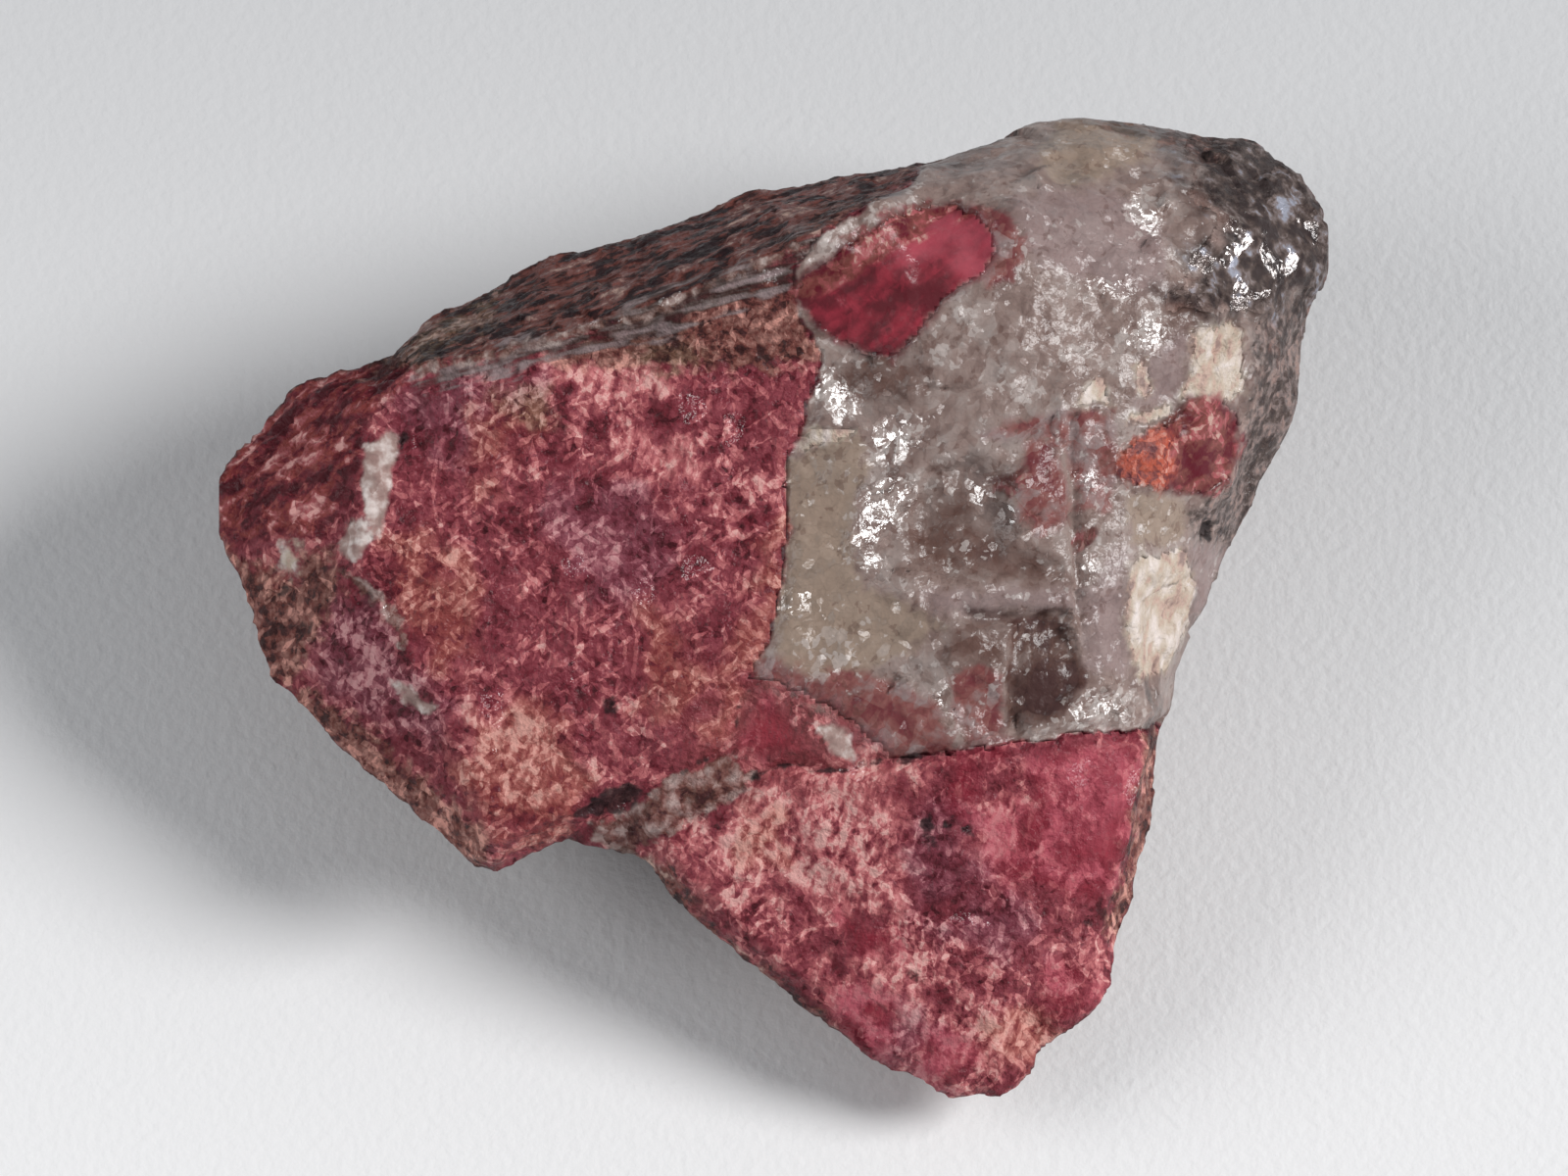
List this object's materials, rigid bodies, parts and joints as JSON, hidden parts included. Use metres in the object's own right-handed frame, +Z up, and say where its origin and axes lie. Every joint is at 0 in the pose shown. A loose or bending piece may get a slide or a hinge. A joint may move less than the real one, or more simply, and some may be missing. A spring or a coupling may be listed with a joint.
{
  "type": "rough rhodonite stone",
  "caption": "Broken lump of rose-red rhodonite grown together with grey quartz, lying on a flat broken face.",
  "frame": {"origin": "on the flat resting face, under the middle of the stone", "axes": "+Z up, +X along the stone's length towards the quartz end, -Y towards its front"},
  "size_m": [0.0473, 0.0412, 0.0211],
  "materials": {
    "rhodonite": "broken granular face, satin with small cleavage glints"
  },
  "bodies": {
    "root": {"rough_rhodonite": "rhodonite"}
  },
  "joints": []
}
